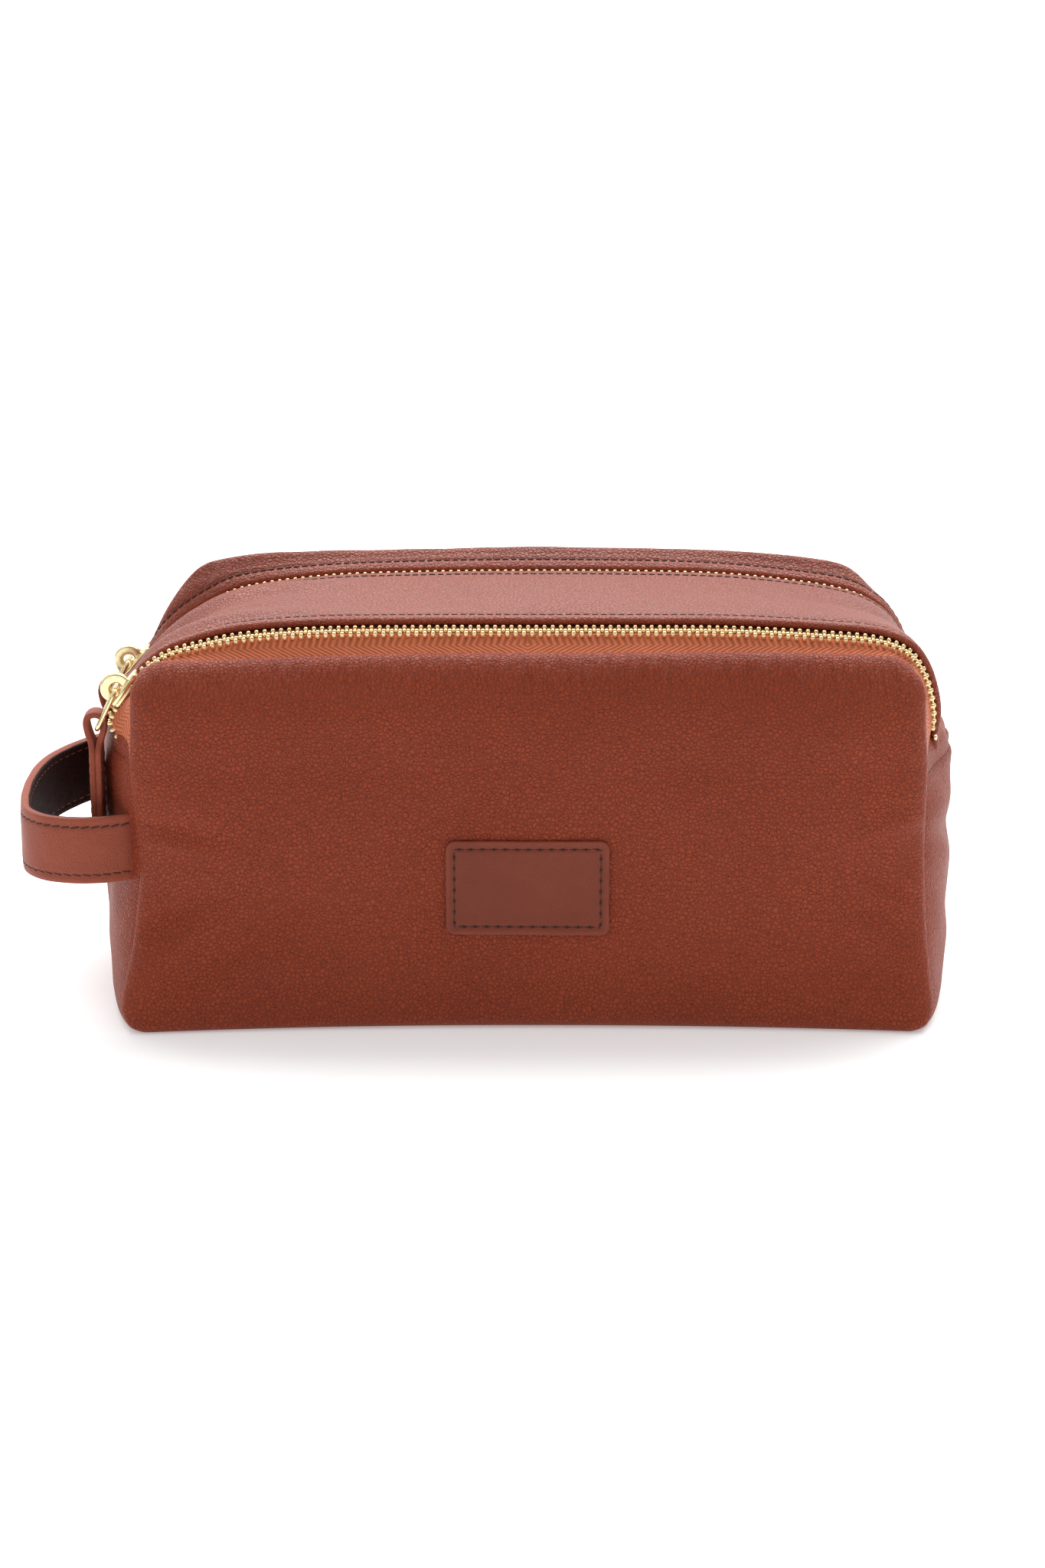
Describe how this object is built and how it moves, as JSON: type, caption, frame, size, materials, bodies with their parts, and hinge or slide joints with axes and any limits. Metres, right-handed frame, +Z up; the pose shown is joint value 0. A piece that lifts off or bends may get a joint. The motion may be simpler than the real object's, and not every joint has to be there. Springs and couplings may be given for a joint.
{
  "type": "shaving kit bag",
  "caption": "Soft leather wash bag with twin zipped compartments, a top strip between the zips, gusseted ends, a blank patch and a side loop handle.",
  "frame": {"origin": "centre of the base's underside", "axes": "+Z up, the front with the blank patch faces -Y, +X runs to the right along the zips; the handle is at -X"},
  "size_m": [0.2835, 0.1073, 0.1223],
  "materials": {
    "leather": "pebbled cognac leather, satin",
    "patch": "smooth leather, matt",
    "strap": "pebbled cognac leather, stitched",
    "backing": "dark brown grained leather",
    "tape": "woven herringbone zip tape",
    "metal": "polished pale gold",
    "lining": "plain woven lining",
    "board": "stiffener board"
  },
  "bodies": {
    "bag": {"front_panel": "leather", "rear_panel": "leather", "base_panel": "leather", "base_board": "board", "left_gusset": "leather", "right_gusset": "leather", "top_strip": "leather", "divider": "lining", "front_lining": "lining", "rear_lining": "lining", "front_tape_inner": "tape", "front_teeth_inner": "metal", "rear_tape_inner": "tape", "rear_teeth_inner": "metal", "front_zip_stops": "metal", "rear_zip_stops": "metal", "label_patch": "patch"},
    "front_flap": {"front_flap_panel": "leather", "front_flap_lining": "lining", "front_tape_outer": "tape", "front_teeth_outer": "metal"},
    "rear_flap": {"rear_flap_panel": "leather", "rear_flap_lining": "lining", "rear_tape_outer": "tape", "rear_teeth_outer": "metal"},
    "front_slider": {"front_slider_body": "metal", "front_slider_bail": "metal"},
    "front_ring": {"front_pull_ring": "metal"},
    "front_tab": {"front_pull_tab": "leather"},
    "rear_slider": {"rear_slider_body": "metal", "rear_slider_bail": "metal"},
    "rear_ring": {"rear_pull_ring": "metal"},
    "rear_tab": {"rear_pull_tab": "leather"},
    "handle": {"handle_strap": "strap", "handle_backing": "backing"}
  },
  "joints": [
    {"name": "front_slider_travel", "type": "hinge", "parent": "bag", "child": "front_slider", "pos_m": [0.00673, -0.032, -0.10765], "axis": [0, 1, 0], "range_deg": [0, 53.3], "deforming": ["front_tape_inner", "front_teeth_inner", "front_tape_outer", "front_teeth_outer", "front_pull_tab"]},
    {"name": "front_mouth", "type": "hinge", "parent": "bag", "child": "front_flap", "pos_m": [0, -0.05145, 0.08], "axis": [1, 0, 0], "range_deg": [0, 50]},
    {"name": "front_ring_swing", "type": "hinge", "parent": "front_slider", "child": "front_ring", "pos_m": [-0.1222, -0.032, 0.09929], "axis": [0, 1, 0], "range_deg": [0, 34]},
    {"name": "front_tab_swing", "type": "hinge", "parent": "front_ring", "child": "front_tab", "pos_m": [-0.12799, -0.032, 0.08731], "axis": [0, 1, 0], "range_deg": [0, 100]},
    {"name": "rear_slider_travel", "type": "hinge", "parent": "bag", "child": "rear_slider", "pos_m": [0.01129, 0.032, -0.11796], "axis": [0, 1, 0], "range_deg": [0, 51], "deforming": ["rear_tape_inner", "rear_teeth_inner", "rear_tape_outer", "rear_teeth_outer", "rear_pull_tab"]},
    {"name": "rear_mouth", "type": "hinge", "parent": "bag", "child": "rear_flap", "pos_m": [0, 0.05145, 0.08], "axis": [-1, 0, 0], "range_deg": [0, 50]},
    {"name": "rear_ring_swing", "type": "hinge", "parent": "rear_slider", "child": "rear_ring", "pos_m": [-0.12506, 0.032, 0.08969], "axis": [0, 1, 0], "range_deg": [0, 36]},
    {"name": "rear_tab_swing", "type": "hinge", "parent": "rear_ring", "child": "rear_tab", "pos_m": [-0.13191, 0.032, 0.07829], "axis": [0, 1, 0], "range_deg": [0, 60]},
    {"name": "handle_flex", "type": "hinge", "parent": "bag", "child": "handle", "pos_m": [-0.121, 0, 0.054], "axis": [0, 1, 0], "range_deg": [-8, 10], "stiffness_Nm_per_rad": 0.2}
  ],
  "couplings": [
    {"joint": "front_mouth", "follows": "front_slider_travel", "ratio": 0.938},
    {"joint": "front_ring_swing", "follows": "front_slider_travel", "ratio": 0.6322},
    {"joint": "rear_mouth", "follows": "rear_slider_travel", "ratio": 0.9803},
    {"joint": "rear_ring_swing", "follows": "rear_slider_travel", "ratio": 0.696}
  ]
}
